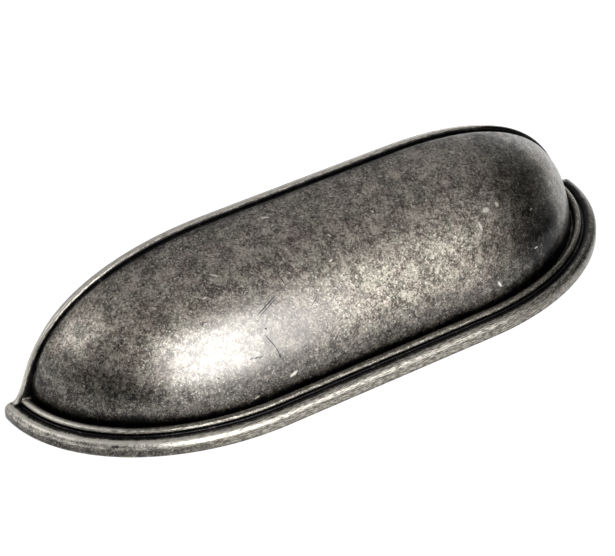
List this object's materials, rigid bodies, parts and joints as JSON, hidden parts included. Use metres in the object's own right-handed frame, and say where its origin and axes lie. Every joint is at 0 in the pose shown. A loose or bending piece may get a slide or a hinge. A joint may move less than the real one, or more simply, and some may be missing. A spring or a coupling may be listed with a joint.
{
  "type": "cup pull",
  "caption": "Half-oval cup pull for a drawer: domed shell on a double-beaded flange, with an open arched lip and screw posts inside.",
  "frame": {"origin": "centre of the pull's footprint, in the flat mounting face that lies against the drawer front", "axes": "+X along the length; +Y out of the open side, where the fingers go in; +Z away from the drawer front"},
  "size_m": [0.12, 0.0302, 0.0255],
  "materials": {
    "antique_pewter": "antique pewter plating on a zinc die casting: mottled warm grey, burnished on the beads and nearly black in the grooves"
  },
  "bodies": {
    "root": {"cup_pull": "antique_pewter"}
  },
  "joints": []
}
